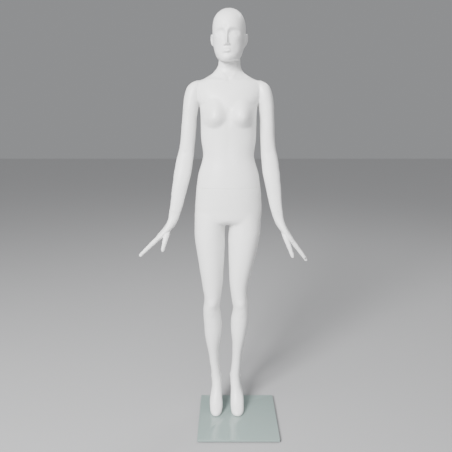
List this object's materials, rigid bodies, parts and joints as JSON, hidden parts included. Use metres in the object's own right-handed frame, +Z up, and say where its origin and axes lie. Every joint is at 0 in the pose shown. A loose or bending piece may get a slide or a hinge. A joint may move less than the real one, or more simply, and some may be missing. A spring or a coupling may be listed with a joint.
{
  "type": "full body mannequin",
  "caption": "Standing female shop mannequin with a bald abstract face, lift-off torso, turning arms and hands, feet raised for heels, held by a foot spigot on a square glass plate",
  "frame": {"origin": "on the floor under the axis of the foot spigot", "axes": "+Z is up, the figure faces -Y, the figure's left is +X"},
  "size_m": [0.7507, 0.4, 1.8075],
  "materials": {
    "shell": "sprayed semi-matt white enamel on laminated fibreglass",
    "board": "bare birch plywood",
    "steel": "plain turned and milled steel",
    "screws": "bright zinc plate",
    "glass": "toughened clear float glass with a green cast and polished edges",
    "rubber": "plain moulded",
    "clear_pad": "clear moulded bumper",
    "bush": "natural nylon"
  },
  "bodies": {
    "base": {"glass_plate": "glass", "floor_pads": "clear_pad", "spigot_rod": "steel", "spigot_flange": "steel", "glass_washer": "rubber", "glass_bush": "bush", "clamp_disc": "steel", "clamp_bolt": "screws", "bolt_cover": "rubber"},
    "lower": {"lower_shell": "shell", "hip_board": "board", "waist_socket": "steel", "hip_plate_screws": "screws", "foot_socket": "steel"},
    "foot_lock": {"foot_lock_screw": "screws"},
    "torso": {"torso_shell": "shell", "head_shell": "shell", "torso_board": "board", "waist_post_plate": "steel", "torso_plate_screws": "screws", "shoulder_socket_right": "steel", "shoulder_socket_left": "steel", "shoulder_screws": "screws"},
    "arm_right": {"arm_shell_right": "shell", "arm_spindle_right": "steel", "arm_screws_right": "screws", "wrist_plug_right": "board"},
    "arm_left": {"arm_shell_left": "shell", "arm_spindle_left": "steel", "arm_screws_left": "screws", "wrist_plug_left": "board"},
    "hand_right": {"hand_right": "shell", "wrist_stud_right": "steel"},
    "hand_left": {"hand_left": "shell", "wrist_stud_left": "steel"}
  },
  "joints": [
    {"name": "figure_lift", "type": "slide", "parent": "base", "child": "lower", "axis": [0, 0, 1], "range_m": [0, 0.13]},
    {"name": "foot_lock_turn", "type": "hinge", "parent": "lower", "child": "foot_lock", "pos_m": [0, 0.015, 0.0775], "axis": [0, 1, 0], "range_deg": [0, 360]},
    {"name": "torso_lift", "type": "slide", "parent": "lower", "child": "torso", "axis": [0, 0, 1], "range_m": [0, 0.12]},
    {"name": "arm_turn_right", "type": "hinge", "parent": "torso", "child": "arm_right", "pos_m": [-0.17, 0.02174, 1.47], "axis": [0.999, 0, 0.0454], "range_deg": [-70, 30]},
    {"name": "arm_turn_left", "type": "hinge", "parent": "torso", "child": "arm_left", "pos_m": [0.084, 0.02174, 1.47], "axis": [0.999, 0, -0.0454], "range_deg": [-70, 30]},
    {"name": "hand_turn_right", "type": "hinge", "parent": "arm_right", "child": "hand_right", "pos_m": [-0.2776, -0.031, 0.9665], "axis": [0.2079, 0, 0.9781], "range_deg": [-60, 60]},
    {"name": "hand_turn_left", "type": "hinge", "parent": "arm_left", "child": "hand_left", "pos_m": [0.17, -0.031, 0.9665], "axis": [-0.2079, 0, 0.9781], "range_deg": [-60, 60]}
  ]
}
